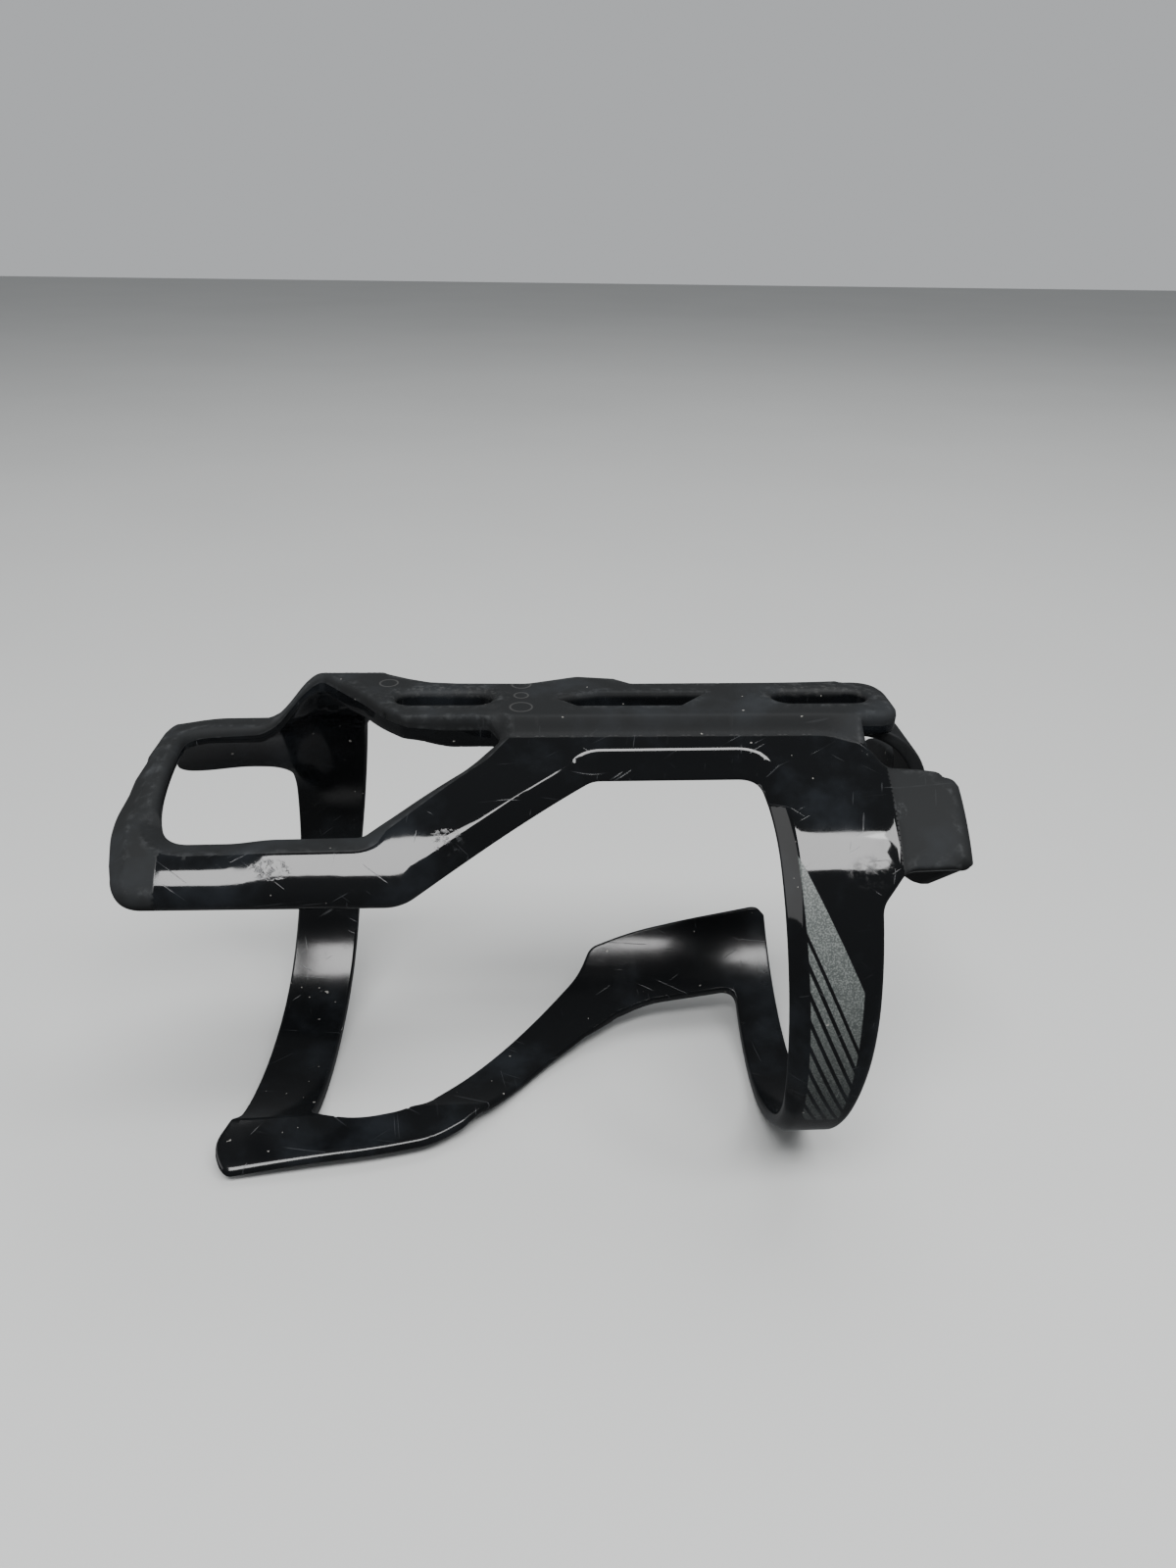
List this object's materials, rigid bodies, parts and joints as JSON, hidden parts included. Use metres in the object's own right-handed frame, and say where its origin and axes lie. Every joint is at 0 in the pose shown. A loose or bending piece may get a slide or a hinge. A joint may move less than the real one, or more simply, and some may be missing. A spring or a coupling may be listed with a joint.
{
  "type": "water bottle cage",
  "caption": "Side-entry bicycle bottle cage in black plastic: slotted spine, open ring, strap, side rail and struts with a hooked foot.",
  "frame": {"origin": "on the mounting face, midway between the two bolt slots (over the spine's window)", "axes": "+Z leaves the mounting face towards the bicycle tube; +X runs along the bottle from its mouth to its base; the bottle enters from -Y, and its axis lies 43 mm under the origin"},
  "size_m": [0.138, 0.0796, 0.0828],
  "materials": {
    "gloss_black": "polished moulded plastic, lightly scratched",
    "matte_black": "fine satin moulded texture"
  },
  "bodies": {
    "root": {"mouth_boss": "matte_black", "mounting_spine": "matte_black", "base_boss": "matte_black", "spine_neck": "matte_black", "mouth_hook": "gloss_black", "mouth_hoop": "matte_black", "near_rail": "gloss_black", "near_strut": "gloss_black", "side_rail": "gloss_black", "near_flank": "gloss_black", "foot_arm": "matte_black", "foot_strap": "gloss_black", "base_stop": "matte_black", "ring_near": "gloss_black", "ring_bottom": "gloss_black", "ring_far": "gloss_black", "far_shoulder": "gloss_black", "front_strut": "gloss_black", "front_lip": "gloss_black", "front_strap": "gloss_black", "far_strap": "gloss_black", "upper_strap": "gloss_black"}
  },
  "joints": []
}
